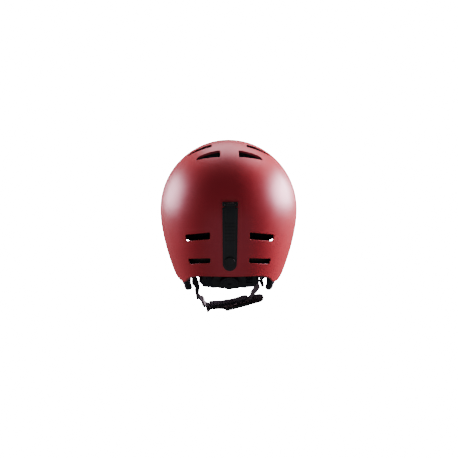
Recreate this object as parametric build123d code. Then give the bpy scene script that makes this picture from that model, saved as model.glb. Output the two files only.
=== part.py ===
"""Hard-shell snow sports helmet: shell, foam liner, dial fit system, ear pads and chin strap.

Millimetres. +Y is the way the wearer faces, +X is the wearer's right, +Z is up. The origin is the
centre of the head opening, level with the lower rear rim of the shell.
"""
import math
import os

from build123d import *

os.makedirs("parts", exist_ok=True)

# Shell: an egg-shaped dome, its upper half a true half ellipsoid
HALF_WIDTH = 108.6
WIDEST_Z = 103.0
DOME_RISE = 110.4
FRONT_REACH = 137.0
REAR_REACH = 131.0
PAD_SCOOP_R = 205.0
FLOOR_Z = -40.0
LOWER_FACTORS = (0.960, 0.870, 0.766, 0.645)
LOWER_HEIGHTS = (65.0, 27.5, -4.0, FLOOR_Z)
SHELL_T = 3.0
LINER_OUT = 3.3
LINER_IN = 22.0
LINER_RIM_UP = 6.0
EDGE_ROUND = 0.9

# Rim line, seen from the side: nape, the tips behind the ears, ear arch and brow
RIM = (
    (-160, 0),
    (-106, 0),
    (-76, -0.5),
    (-60, -5),
    (-48, -10),
    (-34, -9),
    (-15, 0),
    (0, 12),
    (15, 27),
    (42, 57),
    (68, 82),
    (100, 97),
    (160, 104),
)

# Comfort padding
PATCH_OUT = 22.1
PATCH_IN = 22.9
LINING_OUT = 23.0
LINING_IN = 24.6
PAD_OUT = 24.7
PAD_IN = 31.0
DUCT_IN = 14.0
EAR_OUT = 9.0
EAR_IN = 21.0
EAR_SWELL = 30.5

# Goggle retainer at the back
CLIP_GAP = 0.5
CLIP_T = 3.0
CLIP_TOP_W = 24.2
CLIP_LOW_W = 21.6
CLIP_LOW_Z = 9.6
CLIP_PIN_Z = 113.6
CLIP_PIN_OFF = 3.3
CLIP_LOOP_R = 2.9
CLIP_PIN_R = 1.2
FIT_GAP = 0.05
SNAP_Z = 25.6

# Nape cradle: its plane faces back and down
CRADLE_AT = (0.0, -68.0, -8.0)
CRADLE_TILT = 47.0
CRADLE_HALF_LENGTH = 26.5
CRADLE_HALF_HEIGHT = 13.0
DIAL_R = 14.5
MODULE = 1.0
TEETH = 12
PRESSURE_ANGLE = 25.0
TRAVEL = 9.0
PITCH_R = MODULE * TEETH / 2.0
RACK_TIP = 5.1
RACK_ROOT = 7.25
RACK_BACK = 11.0
TOOTH_PLAY = 0.16

# Fit bands
BAND_AT = (0.0, -68.9, -5.8)
BAND_SLOPE = 26.0
BAND_W = 11.6
BAND_T = 1.2

# Straps
WEB_W = 16.0
WEB_T = 1.6
HUB_LEFT = Vector(-50.0, 10.0, -32.5)
HUB_RIGHT = Vector(53.0, 10.0, -12.5)
HUB_R = 9.0
HUB_T = 5.0
SWING = (HUB_RIGHT - HUB_LEFT).normalized()
LOOP_MID = (HUB_RIGHT + HUB_LEFT) / 2.0
DOWN = Vector(0.150, 0.623, -0.768)
LOOP_NORMAL = SWING.cross(DOWN).normalized()
LOOP = Plane(origin=LOOP_MID, x_dir=SWING, z_dir=LOOP_NORMAL)
FRONT_EXIT = (82.0, 50.0, 62.0)
FRONT_ANCHOR = (84.5, 52.0, 78.0)
REAR_EXIT = (54.0, -61.0, -2.0)
REAR_ANCHOR = (58.0, -63.5, 10.0)
CHIN_PAD_W = 17.0
CHIN_PAD_T = 4.8
CATCH_AT = (7.0, 32.75)
CATCH_SLOPE = -5.2
CATCH_HALF_L = 21.0
CATCH_HALF_W = 10.0
CATCH_T = 6.5


def save(shape, name):
    export_step(shape, "parts/" + name + ".step")


def profile(inset):
    """Half outline of the dome, from the crown down to the floor."""
    wide = HALF_WIDTH - inset
    rise = DOME_RISE - inset
    points = []
    for degrees in (0.0, 22.5, 45.0, 67.5, 90.0):
        turn = math.radians(degrees)
        points.append((wide * math.sin(turn), WIDEST_Z + rise * math.cos(turn)))
    for factor, height in zip(LOWER_FACTORS, LOWER_HEIGHTS):
        points.append((wide * factor, height))
    return Spline(*points, tangents=[(1, 0), (-0.36, -1)])


def reach(height, inset, length):
    """How far the dome reaches from its axis at one height, for a given length."""
    curve = profile(inset)
    wide = HALF_WIDTH - inset
    spots = [curve @ (step / 4000.0) for step in range(4001)]
    best = min(spots, key=lambda spot: abs(spot.Y - height))
    return best.X * (length - inset) / wide


def half_dome(inset, front):
    """Solid front or rear half of the dome, drawn in by the inset."""
    wide = HALF_WIDTH - inset
    curve = profile(inset)
    foot = curve @ 1
    crown = curve @ 0
    outline = Plane.XZ * make_face([curve, Polyline(foot, (0, FLOOR_Z), crown)])
    half = revolve(outline, Axis.Z, 180)
    length = FRONT_REACH if front else REAR_REACH
    if not front:
        half = mirror(half, Plane.XZ)
    return scale(half, by=(1, (length - inset) / wide, 1))


def dome(inset):
    return half_dome(inset, True) + half_dome(inset, False)


def below_rim(lift):
    """Everything under the rim line."""
    line = Spline(*RIM)
    sides = Polyline(RIM[-1], (160, -60), (-160, -60), RIM[0])
    block = extrude(Plane.YZ * make_face([line, sides]), 130, both=True)
    return Pos(0, 0, lift) * block


def both_sides(shape):
    return [shape, mirror(shape, Plane.YZ)]


def crown_vent(corners, grow):
    face = make_face(Polyline(*corners, close=True))
    face = fillet(face.vertices(), 1.4)
    if grow > 0:
        face = offset(face, grow)
    return extrude(Plane.XY.offset(125) * face, 120)


def nape_vent(corners, grow):
    face = make_face(Polyline(*corners, close=True))
    face = fillet(face.vertices(), 1.4)
    if grow > 0:
        face = offset(face, grow)
    return extrude(Plane.XZ.offset(45) * face, 120)


CROWN_BACK = ((14.6, -66.5), (32, -64.5), (48, -62), (52.3, -66.5), (33.2, -77), (14.6, -83))
CROWN_MID = ((27.5, -33.5), (44, -30.5), (61, -25.5), (66, -30), (47, -41), (27.5, -46))
NAPE_HIGH = ((31, 70.2), (31, 59.8), (67, 56), (68.5, 65.6))
NAPE_LOW = ((30.2, 29.5), (30.2, 22.5), (61, 19.7), (64, 27.8))


def vents(grow):
    """All vent openings; the front ones mirror the ones at the back."""
    cutters = []
    for corners in (NAPE_LOW, NAPE_HIGH):
        cutters += both_sides(nape_vent(corners, grow))
    for corners in (CROWN_BACK, CROWN_MID):
        back = crown_vent(corners, grow)
        front = mirror(back, Plane.XZ)
        cutters += both_sides(back)
        cutters += both_sides(front)
    return cutters


def webbing(stations, width, thick):
    """Flat strap through stations of centre, width direction and run direction."""
    sections = []
    for centre, across, along in stations:
        spot = Plane(origin=centre, x_dir=across, z_dir=along)
        sections.append(spot * Rectangle(width, thick))
    return loft(sections, ruled=True)


def ribbon(points, width, thick, corner):
    """Strap that lies on edge in the loop plane, its path given as p, q points."""
    path = FilletPolyline(*points, radius=corner)
    face = trace(path, thick)
    return LOOP.location * extrude(face, width / 2.0, both=True)


# ---- shell and liner
outer_dome = dome(0.0)
shell = outer_dome - dome(SHELL_T) - below_rim(0.0)
for cutter in vents(0.0):
    shell = shell - cutter
outer_faces = [f for f in shell.faces() if f.area > 20000 and f.bounding_box().size.X > 2 * HALF_WIDTH - 3]
edges = []
for face in outer_faces:
    edges += [e for e in face.edges() if e.bounding_box().size.Y > 0.05]
shell = fillet(edges, EDGE_ROUND)

liner_cavity = dome(LINER_IN)
liner = dome(LINER_OUT) - liner_cavity - below_rim(LINER_RIM_UP)
for cutter in vents(1.2)[2:]:
    liner = liner - cutter
duct_core = half_dome(DUCT_IN, False)
for side in (-1, 1):
    low_pocket = Pos(side * 46.5, -100, 24.5) * Box(36, 120, 13)
    riser = Pos(side * 46.0, -100, 45) * Box(20, 120, 50)
    liner = liner - ((low_pocket + riser) - duct_core)

# ---- strap legs, their anchor plates, and the slots that hold them
legs = {}
plates = []
slots = []
LEGS = (
    ("strap_leg_front_left", -1, HUB_LEFT, FRONT_EXIT, FRONT_ANCHOR),
    ("strap_leg_rear_left", -1, HUB_LEFT, REAR_EXIT, REAR_ANCHOR),
    ("strap_leg_front_right", 1, HUB_RIGHT, FRONT_EXIT, FRONT_ANCHOR),
    ("strap_leg_rear_right", 1, HUB_RIGHT, REAR_EXIT, REAR_ANCHOR),
)
for name, side, hub, exit_at, anchor_at in LEGS:
    leave = Vector(exit_at[0] * side, exit_at[1], exit_at[2])
    hold = Vector(anchor_at[0] * side, anchor_at[1], anchor_at[2])
    out = leave - hub
    radial = (out - SWING * out.dot(SWING)).normalized()
    start = hub + radial * (HUB_R + 0.4)
    bulge_x = leave.X / HALF_WIDTH ** 2
    bulge_y = leave.Y / FRONT_REACH ** 2
    normal = Vector(bulge_x, bulge_y, 0).normalized()
    run = (leave - start).normalized()
    rise = (hold - leave).normalized()
    across = normal.cross(run + rise).normalized()
    level = (across - rise * across.dot(rise)).normalized()
    first = SWING.cross(radial).normalized()
    if first.dot(across) < 0:
        first = first * -1
    path = [(start, first, radial), (leave, across, run + rise), (hold, level, rise)]
    legs[name] = webbing(path, WEB_W, WEB_T)
    slots.append(webbing(path, WEB_W + 1.6, WEB_T + 2.0))
    seat = Plane(origin=hold + rise * 4.2, x_dir=level, z_dir=level.cross(rise))
    plates.append(seat.location * Box(18, 8, 2))
    slots.append(seat.location * Box(18.4, 8.6, 2.3))
for slot in slots:
    liner = liner - slot

# ---- fabric lining and comfort pads inside the liner
lining_side = ((-160, 47), (-95, 48), (40, 80), (115, 106), (160, 106), (160, 240), (-160, 240))
lining_block = extrude(Plane.YZ * make_face(Polyline(*lining_side, close=True)), 130, both=True)
lining = (dome(LINING_OUT) - dome(LINING_IN)) & lining_block
pad_layer = dome(PAD_OUT) - dome(PAD_IN)
spine = Plane.XY.offset(140) * RectangleRounded(30, 150, 12)
wings = Plane.XY.offset(140) * RectangleRounded(122, 26, 12)
crown_pad = pad_layer & extrude(spine + wings, 80)
brow_band = Pos(0, 95, 116) * Box(160, 90, 24)
brow_pad = pad_layer & brow_band
side_pad_right = pad_layer & (Pos(80, 0, 90) * Box(60, 62, 32))
side_pad_left = mirror(side_pad_right, Plane.YZ)
patch_layer = dome(PATCH_OUT) - dome(PATCH_IN)
patch_spots = [
    Pos(0, 0, 190) * Cylinder(9, 60),
    Pos(0, 45, 180) * Cylinder(9, 60),
    Pos(0, -45, 180) * Cylinder(9, 60),
    Pos(0, 115, 116) * Rot(90, 0, 0) * Cylinder(8, 40),
    Pos(80, 12, 90) * Rot(0, 90, 0) * Cylinder(8, 40),
    Pos(80, -14, 90) * Rot(0, 90, 0) * Cylinder(8, 40),
    Pos(-80, 12, 90) * Rot(0, 90, 0) * Cylinder(8, 40),
    Pos(-80, -14, 90) * Rot(0, 90, 0) * Cylinder(8, 40),
]
hook_patches = [patch_layer & spot for spot in patch_spots]

# ---- ear pads, hung just under the liner
ear_outline = make_face(
    [
        Spline((-30, -8), (-24, -20), (-12, -26.5), (0, -28), (10, -25.5), (14.5, -18), (14.5, -4), (18, 12)),
        Polyline((18, 12), (25, 32), (25, 60), (-30, 60), (-30, -8)),
    ]
)
ear_block = extrude(Plane.YZ * ear_outline, 120)
ear_shell = (dome(EAR_OUT) - dome(EAR_IN)) & ear_block
ear_swell = make_face(Spline((-23, -4), (-19, -19), (-10, -24.5), (-1, -22.5), (2.5, -12), (0.5, 0), (-10, 3), periodic=True))
ear_swell = (dome(EAR_OUT + 5.0) - dome(EAR_SWELL)) & extrude(Plane.YZ * ear_swell, 120)
ear_pad_right = (ear_shell + ear_swell) & below_rim(LINER_RIM_UP - 1.5)
ear_pad_left = mirror(ear_pad_right, Plane.YZ)

# ---- goggle retainer: rubber strap with a hinged top and a snap near its lower end
clip_skin = half_dome(-CLIP_GAP - CLIP_T, False) - half_dome(-CLIP_GAP, False)
half_top = CLIP_TOP_W / 2.0
half_low = CLIP_LOW_W / 2.0
low_mid = CLIP_LOW_Z + half_low
shoulder = CLIP_PIN_Z - 4.7
clip_outline = make_face(
    [
        Line((-half_low, low_mid), (-half_top, shoulder)),
        Line((-half_top, shoulder), (-8, shoulder + 0.4)),
        Line((-8, shoulder + 0.4), (-8, CLIP_PIN_Z)),
        Line((-8, CLIP_PIN_Z), (8, CLIP_PIN_Z)),
        Line((8, CLIP_PIN_Z), (8, shoulder + 0.4)),
        Line((8, shoulder + 0.4), (half_top, shoulder)),
        Line((half_top, shoulder), (half_low, low_mid)),
        ThreePointArc((half_low, low_mid), (0, CLIP_LOW_Z), (-half_low, low_mid)),
    ]
)
clip_strap = clip_skin & extrude(Plane.XZ.offset(80) * clip_outline, 80)
pin_y = -reach(CLIP_PIN_Z, 0.0, REAR_REACH) - CLIP_PIN_OFF
PIN_SEAT = Pos(0, pin_y, CLIP_PIN_Z) * Rot(0, 90, 0)
clip_strap = clip_strap + PIN_SEAT * Cylinder(CLIP_LOOP_R, 16)
clip_strap = clip_strap - PIN_SEAT * Cylinder(CLIP_PIN_R + FIT_GAP, 40)
for row in range(6):
    groove_z = 58.0 + row * 5.4
    groove_y = -reach(groove_z, -CLIP_GAP - CLIP_T, REAR_REACH)
    clip_strap = clip_strap - Pos(0, groove_y, groove_z) * Box(16, 1.4, 1.6)
bracket_seat = half_dome(-0.05, False)
bracket_side = Pos(10.15, pin_y + 2.4, CLIP_PIN_Z + 0.4) * Box(3.7, 10.6, 6.4)
bracket = Pos(0, pin_y + 3.4, CLIP_PIN_Z + 3.6) * Box(24.0, 6.6, 1.1)
for ear in both_sides(bracket_side):
    bracket = bracket + ear
bracket = bracket - bracket_seat - PIN_SEAT * Cylinder(CLIP_PIN_R + 0.01, 40)
clip_pin = PIN_SEAT * Cylinder(CLIP_PIN_R, 23.0)

snap_y = -reach(SNAP_Z, 0.0, REAR_REACH)
below_y = -reach(SNAP_Z - 2.0, 0.0, REAR_REACH)
above_y = -reach(SNAP_Z + 2.0, 0.0, REAR_REACH)
snap_out = Vector(0, -4.0, above_y - below_y).normalized()
SNAP = Plane(origin=(0, snap_y, SNAP_Z), x_dir=(1, 0, 0), z_dir=snap_out)
rivet_hole = SNAP.location * Cylinder(1.6, 14)
shell = shell - rivet_hole
liner = liner - rivet_hole
stud_base = SNAP.location * (Pos(0, 0, 0.1) * Cylinder(4.2, 1.8)) - bracket_seat
snap_stud = stud_base + SNAP.location * (Pos(0, 0, -1.2) * Cylinder(1.55, 4.4))
snap_stud = snap_stud + SNAP.location * (Pos(0, 0, 1.95) * Cylinder(3.0, 1.9))
clip_strap = clip_strap - SNAP.location * (Pos(0, 0, 2) * Cylinder(4.6, 8))
cap_disc = Pos(0, 0, 4.55) * Cylinder(8.0, 1.5)
cap_disc = fillet(cap_disc.edges().sort_by(Axis.Z)[-1], 0.9)
cap_ring = Pos(0, 0, 2.7) * (Cylinder(4.4, 2.2) - Cylinder(3.35, 2.2))
snap_cap = SNAP.location * (cap_disc + cap_ring)

# ---- nape cradle with its rack and pinion drive
tilt = math.radians(CRADLE_TILT)
CRADLE = Plane(origin=CRADLE_AT, x_dir=(1, 0, 0), z_dir=(0, -math.cos(tilt), -math.sin(tilt)))


def slab(width, height, low, high, corner):
    """Rounded block in the cradle frame between two depths."""
    return extrude(Plane.XY.offset(low) * RectangleRounded(width, height, corner), high - low)


LENGTH = 2 * CRADLE_HALF_LENGTH
HEIGHT = 2 * CRADLE_HALF_HEIGHT
back_plate = slab(LENGTH, HEIGHT, -6.0, -4.2, 9)
cover = slab(LENGTH, HEIGHT, -4.15, 1.0, 9)
cover = fillet(cover.edges().group_by(Axis.Z)[-1], 1.2)
channel = Pos(0, 0, -3.0) * Box(LENGTH + 2, 2 * RACK_BACK + 0.3, 2.4)
cover = cover - channel - Pos(0, 0, -2.5) * Cylinder(7.4, 3.4)
for side in (-1, 1):
    cover = cover + Pos(side * 17.0, 0, -2.95) * Box(15.0, 9.4, 2.4)
cover = cover - Cylinder(4.5 + FIT_GAP, 20)
screws = []
for side in (-1, 1):
    shaft = Pos(side * 18.0, 0, -2.6) * Cylinder(1.2, 6.4)
    head = Pos(side * 18.0, 0, 0.7) * Cylinder(2.3, 0.8)
    screws.append(CRADLE.location * (shaft + head))
    cover = cover - Pos(side * 18.0, 0, -2.0) * Cylinder(1.25, 12)
    cover = cover - Pos(side * 18.0, 0, 0.8) * Cylinder(2.35, 1.0)
    back_plate = back_plate - Pos(side * 18.0, 0, -5.0) * Cylinder(1.22, 4)


def gear_face():
    """Involute pinion, one tooth pointing at each rack."""
    base = PITCH_R * math.cos(math.radians(PRESSURE_ANGLE))
    at_pitch = math.tan(math.radians(PRESSURE_ANGLE)) - math.radians(PRESSURE_ANGLE)
    half_tooth = math.pi / (2 * TEETH) - TOOTH_PLAY / (2 * PITCH_R)
    flank = []
    for step in range(6):
        radius = base + (PITCH_R + 0.9 * MODULE - base) * step / 5.0
        open_angle = math.acos(base / radius)
        turn = half_tooth + at_pitch - (math.tan(open_angle) - open_angle)
        flank.append((radius, turn))
    outline = []
    for tooth in range(TEETH):
        middle = math.radians(90.0 + tooth * 360.0 / TEETH)
        foot = middle - flank[0][1]
        outline.append((4.75 * math.cos(foot), 4.75 * math.sin(foot)))
        for radius, turn in flank:
            outline.append((radius * math.cos(middle - turn), radius * math.sin(middle - turn)))
        for radius, turn in reversed(flank):
            outline.append((radius * math.cos(middle + turn), radius * math.sin(middle + turn)))
        foot = middle + flank[0][1]
        outline.append((4.75 * math.cos(foot), 4.75 * math.sin(foot)))
    return make_face(Polyline(*outline, close=True))


def rack(left_end, right_end):
    """Toothed bar whose teeth point down at the pinion, with a wide plate at its left end."""
    pitch = math.pi * MODULE
    slope = math.tan(math.radians(PRESSURE_ANGLE))
    half_pitch_tooth = pitch / 4.0 - TOOTH_PLAY / 2.0
    tip_half = half_pitch_tooth - (PITCH_R - RACK_TIP) * slope
    root_half = half_pitch_tooth + (RACK_ROOT - PITCH_R) * slope
    outline = [(right_end, RACK_BACK), (right_end, RACK_ROOT)]
    first = math.floor((right_end - root_half) / pitch - 0.5)
    for count in range(9):
        middle = (first + 0.5 - count) * pitch
        if middle + root_half < right_end:
            outline.append((middle + root_half, RACK_ROOT))
            outline.append((middle + tip_half, RACK_TIP))
            outline.append((middle - tip_half, RACK_TIP))
            outline.append((middle - root_half, RACK_ROOT))
    outline.append((left_end + 4, RACK_ROOT))
    outline.append((left_end + 4, -3.0))
    outline.append((left_end, -3.0))
    outline.append((left_end, RACK_BACK))
    return extrude(Plane.XY.offset(-3.6) * make_face(Polyline(*outline, close=True)), 1.6)


RACK_LEFT_END = -CRADLE_HALF_LENGTH - TRAVEL - 5.0
rack_left = rack(RACK_LEFT_END, 5.0)
rack_right = Rot(0, 0, 180) * rack_left
end_bridge = Pos(RACK_LEFT_END + 2, 4.0, -2.8) * Box(4, 14, 1.6)
rack_right = rack_right + mirror(end_bridge, Plane.YZ)

pinion = extrude(Plane.XY.offset(-3.95) * gear_face(), 2.7)
pinion = pinion + Pos(0, 0, 0.02) * Cylinder(4.5, 2.56)
pinion = pinion - Pos(0, 0, 0) * Cylinder(1.27, 12)
knob = Pos(0, 0, 3.65) * Cylinder(DIAL_R, 4.7)
knob = fillet(knob.edges().sort_by(Axis.Z)[-1], 1.3)
for flute in range(20):
    place = Rot(0, 0, flute * 18.0) * Pos(DIAL_R + 0.9, 0, 4.6)
    knob = knob - place * Cylinder(1.5, 3.4)
groove = Pos(0, 0, 5.9) * (Cylinder(11.3, 0.8) - Cylinder(10.3, 0.8))
knob = knob - groove - Pos(0, 0, 5.5) * Cylinder(2.9, 1.6) - Cylinder(1.4, 20)
dial_screw = Pos(0, 0, 1.1) * Cylinder(1.25, 7.6) + Pos(0, 0, 5.15) * Cylinder(2.6, 0.9)



def pad_ring(half_width):
    """Curved strip that follows the neck, as wide as given, in the plane of PAD_FRAME."""
    span = math.asin(half_width / 95.0)
    outer = (95.0 * math.sin(span), 95.0 * math.cos(span))
    inner = (88.6 * math.sin(span), 88.6 * math.cos(span))
    lines = [
        ThreePointArc((-outer[0], outer[1]), (0, 95.0), outer),
        Line(outer, inner),
        ThreePointArc(inner, (0, 88.6), (-inner[0], inner[1])),
        Line((-inner[0], inner[1]), (-outer[0], outer[1])),
    ]
    return make_face(lines)


PAD_FRAME = Plane(origin=(0, 0, -95.0 - 7.6), x_dir=(1, 0, 0), z_dir=(0, -1, 0))
nape_pad = extrude(PAD_FRAME * pad_ring(43.1), 36.0) + extrude(PAD_FRAME * pad_ring(43.1), -8.0)
nape_pad = nape_pad - Pos(0, -31.5 - PAD_SCOOP_R, -15) * Cylinder(PAD_SCOOP_R, 60)
wing_face = PAD_FRAME.offset(13.5) * pad_ring(49.5)
nape_pad = nape_pad + extrude(wing_face, 16.0)

hangers = []
hanger_studs = []
for side in (-1, 1):
    path = Polyline((-67.6, 1.2), (-72.6, 6.6), (-84, 18), (-88.7, 27), (-91.6, 37))
    strip = extrude(Plane.YZ.offset(side * 14.0) * trace(path, 1.2), 5.0, both=True)
    peg = Pos(side * 14.0, -94.0, 33.0) * Rot(90, 0, 0) * Cylinder(1.6, 13.6)
    button = Pos(side * 14.0, -87.7, 33.0) * Rot(90, 0, 0) * Cylinder(3.2, 1.0)
    strip = strip - Pos(side * 14.0, -92.0, 33.0) * Rot(90, 0, 0) * Cylinder(1.7, 14)
    liner = liner - Pos(side * 14.0, -94.0, 33.0) * Rot(90, 0, 0) * Cylinder(1.65, 14.2)
    hangers.append(strip)
    hanger_studs.append(peg + button)

# ---- fit bands that run from the racks to the temples
slope = math.radians(BAND_SLOPE)
BAND = Plane(origin=BAND_AT, x_dir=(1, 0, 0), z_dir=(0, -math.sin(slope), math.cos(slope)))
BAND_PATH = (
    (41.3, -68.9),
    (41.9, -62.5),
    (46.0, -55.0),
    (51.3, -48.5),
    (57.0, -40.0),
    (65.0, -22.0),
    (69.8, -2.0),
    (71.6, 12.0),
    (71.9, 19.0),
)
band_points = [(x, (y - BAND_AT[1]) / math.cos(slope)) for x, y in BAND_PATH]
band_face = trace(Spline(*band_points), BAND_T)
band_right = BAND.location * extrude(band_face, BAND_W / 2.0, both=True)
stud_z = BAND_AT[2] + (12 - BAND_AT[1]) * math.tan(slope)
TEMPLE = Pos(71.6, 12, stud_z) * Rot(0, 90, 0)
band_right = band_right - TEMPLE * Cylinder(2.3, 10)
band_left = mirror(band_right, Plane.YZ)
temple_stud = TEMPLE * (Pos(0, 0, 4.9) * Cylinder(2.0, 14.2) + Pos(0, 0, -1.9) * Cylinder(4.0, 1.2))
liner = liner - TEMPLE * (Pos(0, 0, 6.2) * Cylinder(2.05, 13.0))
liner = liner - mirror(TEMPLE * (Pos(0, 0, 6.2) * Cylinder(2.05, 13.0)), Plane.YZ)

# ---- chin strap
CATCH = Plane(LOOP.location * Pos(CATCH_AT[0], CATCH_AT[1], 0) * Rot(0, 0, CATCH_SLOPE))
left_path = ((-50.2, 5.5), (-42.5, 25.0), (-37.5, 30.4), (-22.0, 33.6), (-13.5, 36.4), (-8.0, 36.0))
webbing_left = ribbon(left_path, WEB_W, WEB_T, 2.0)
left_slot = ribbon(((-51.5, 2.0), (-42.5, 25.0), (-38, 30)), WEB_W + 0.3, WEB_T + 0.4, 2.0)
hub_seat_left = Plane(origin=HUB_LEFT, z_dir=SWING)
hub_seat_right = Plane(origin=HUB_RIGHT, z_dir=SWING)
disc = Cylinder(HUB_R, HUB_T) - Pos(0, 0, HUB_T / 2) * (Cylinder(6.4, 1.2) - Cylinder(4.2, 1.2))
disc = disc - Pos(0, 0, -HUB_T / 2) * (Cylinder(6.4, 1.2) - Cylinder(4.2, 1.2))
disc = fillet(disc.edges().filter_by(lambda e: abs(e.length - 2 * math.pi * HUB_R) < 0.1), 0.8)
divider_left = hub_seat_left.location * disc - left_slot
divider_right = hub_seat_right.location * disc

tail_top = LOOP.location.position + SWING * -42.3 + DOWN * 29.6
tail_end = LOOP.location.position + SWING * -36.5 + DOWN * 39.5
tail_run = (tail_end - tail_top).normalized()
twist = (SWING * 0.75 + LOOP_NORMAL * 0.66).normalized()
strap_tail = webbing([(tail_top, LOOP_NORMAL, tail_run), (tail_end, twist, tail_run)], WEB_W - 2, WEB_T)

pad_line = Spline((-38.5, 25.2), (-24, 28.4), (-8, 30.0), (8, 29.8), (27.5, 26.4))
pad_face = trace(pad_line, CHIN_PAD_T)
chin_pad = extrude(pad_face, CHIN_PAD_W / 2.0, both=True)
chin_pad = LOOP.location * fillet(chin_pad.edges().filter_by(Axis.Z), 2.0)

catch = Pos(0, CATCH_T / 2, 0) * Box(2 * CATCH_HALF_L, CATCH_T, 2 * CATCH_HALF_W)
catch = fillet(catch.edges().filter_by(Axis.Y), 4.0)
catch = fillet(catch.edges().group_by(Axis.Y)[-1], 1.5)
catch = catch - Pos(5.0, 1.85, 1.2) * Box(36, 3.7, 19)
catch = catch - Pos(-18, 1.85, 0) * Box(12, WEB_T + 0.9, WEB_W + 0.6)
catch = catch - Pos(15.5, 4.9, 0) * Box(12, 2.7, 19.2)
magnet_hole = Pos(-2, 4.6, 0) * Rot(90, 0, 0) * Cylinder(5.05, 2.0)
catch = catch - magnet_hole
tab = Pos(27.0, 4.9, 0) * Box(34, 2.6, 19)
tab = fillet(tab.edges().filter_by(Axis.Y).group_by(Axis.X)[-1], 9.0)
tab = fillet(tab.edges().group_by(Axis.Y)[-1], 0.9)
catch_magnet = Pos(-2, 4.65, 0) * Rot(90, 0, 0) * Cylinder(5.0, 1.7)
tongue = Pos(6.0, 2.0, 0) * Box(28, 2.6, 14)
tongue = fillet(tongue.edges().filter_by(Axis.Y).group_by(Axis.X)[0], 4.0)
tongue = tongue - Pos(-2, 2.0, 0) * Rot(90, 0, 0) * Cylinder(5.05, 4)
tongue_magnet = Pos(-2, 2.0, 0) * Rot(90, 0, 0) * Cylinder(5.0, 2.4)

right_path = ((27.9, 32.4), (31.0, 30.5), (32.6, 24.0), (46.0, 7.2))
webbing_right = ribbon(right_path, WEB_W, WEB_T, 1.6)

adjust_run = Vector(9.9, 25.0, 0).normalized()
adjust_spot = Vector(-52.4, 0, 0) + adjust_run * 19.5
ADJUST = Plane(origin=adjust_spot, x_dir=adjust_run, z_dir=(0, 0, 1))
adjuster = Box(8, 4.4, 21)
adjuster = fillet(adjuster.edges().filter_by(Axis.Z), 1.2)
adjuster = adjuster - Box(20, WEB_T + 0.3, WEB_W + 0.4)
adjuster = adjuster - Pos(0, 1.6, 0) * Box(3, 2.0, 14)
adjuster = LOOP.location * (ADJUST.location * adjuster)

# ---- one file for each node
save(shell, "outer_shell")
save(liner, "foam_liner")
save(lining, "fabric_lining")
save(crown_pad, "crown_pad")
save(brow_pad, "brow_pad")
save(side_pad_left, "side_pad_left")
save(side_pad_right, "side_pad_right")
save(Compound(children=hook_patches), "hook_patches")
save(ear_pad_left, "ear_pad_left")
save(ear_pad_right, "ear_pad_right")
save(clip_strap, "goggle_strap")
save(bracket, "goggle_bracket")
save(clip_pin, "goggle_pin")
save(snap_stud, "snap_stud")
save(snap_cap, "snap_cap")
save(CRADLE.location * back_plate, "cradle_back")
save(CRADLE.location * cover, "cradle_cover")
save(Compound(children=screws), "cradle_screws")
save(CRADLE.location * rack_left, "rack_left")
save(CRADLE.location * rack_right, "rack_right")
save(CRADLE.location * pinion, "dial_pinion")
save(CRADLE.location * knob, "dial_knob")
save(CRADLE.location * dial_screw, "dial_screw")
save(CRADLE.location * nape_pad, "nape_pad")
save(Compound(children=hangers), "cradle_hangers")
save(Compound(children=hanger_studs), "hanger_studs")
save(band_left, "band_left")
save(band_right, "band_right")
save(Compound(children=both_sides(temple_stud)), "temple_studs")
for name, leg in legs.items():
    save(leg, name)
save(Compound(children=plates), "strap_anchors")
save(divider_left, "divider_left")
save(divider_right, "divider_right")
save(webbing_left, "webbing_left")
save(strap_tail, "strap_tail")
save(chin_pad, "chin_pad")
save(CATCH.location * catch, "buckle_catch")
save(CATCH.location * tab, "pull_tab")
save(CATCH.location * catch_magnet, "catch_magnet")
save(CATCH.location * tongue, "buckle_tongue")
save(CATCH.location * tongue_magnet, "tongue_magnet")
save(webbing_right, "webbing_right")
save(adjuster, "strap_adjuster")
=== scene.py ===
"""Ski helmet: satin shell, foam liner, soft padding, dial fit system and chin strap."""

import logging
import math
from dataclasses import dataclass, field
from enum import Enum
from typing import Callable, Sequence

import bmesh
import bpy
from mathutils import Matrix, Vector, noise


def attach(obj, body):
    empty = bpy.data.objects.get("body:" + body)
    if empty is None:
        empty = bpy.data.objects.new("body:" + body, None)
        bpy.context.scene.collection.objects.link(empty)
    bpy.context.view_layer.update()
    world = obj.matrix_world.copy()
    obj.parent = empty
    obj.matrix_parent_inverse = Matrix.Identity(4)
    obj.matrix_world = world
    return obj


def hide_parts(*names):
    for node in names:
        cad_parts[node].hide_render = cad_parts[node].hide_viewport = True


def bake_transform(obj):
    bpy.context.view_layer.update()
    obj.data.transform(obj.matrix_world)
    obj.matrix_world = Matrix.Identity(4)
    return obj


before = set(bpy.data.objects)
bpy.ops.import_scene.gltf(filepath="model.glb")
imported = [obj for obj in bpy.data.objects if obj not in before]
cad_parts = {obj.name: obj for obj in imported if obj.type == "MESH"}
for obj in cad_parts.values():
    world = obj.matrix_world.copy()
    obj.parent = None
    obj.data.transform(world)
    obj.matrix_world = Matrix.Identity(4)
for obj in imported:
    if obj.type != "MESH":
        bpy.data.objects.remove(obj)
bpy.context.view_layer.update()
LOG = logging.getLogger("helmet")
Seam = Callable[[Vector], float]
Tone = tuple[float, float, float]
Place = tuple[float, float, float]
MM_PER_M = 1000.0
MERGE_DISTANCE = 0.00002
ALL_SMOOTH = 180.0
CRISP_RIM = 40.0


class Side(Enum):
    """The two sides of the wearer's head, as signs along X."""

    LEFT = -1
    RIGHT = 1

    @property
    def word(self) -> str:
        """The side's name as node names spell it."""
        return self.name.lower()


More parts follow.
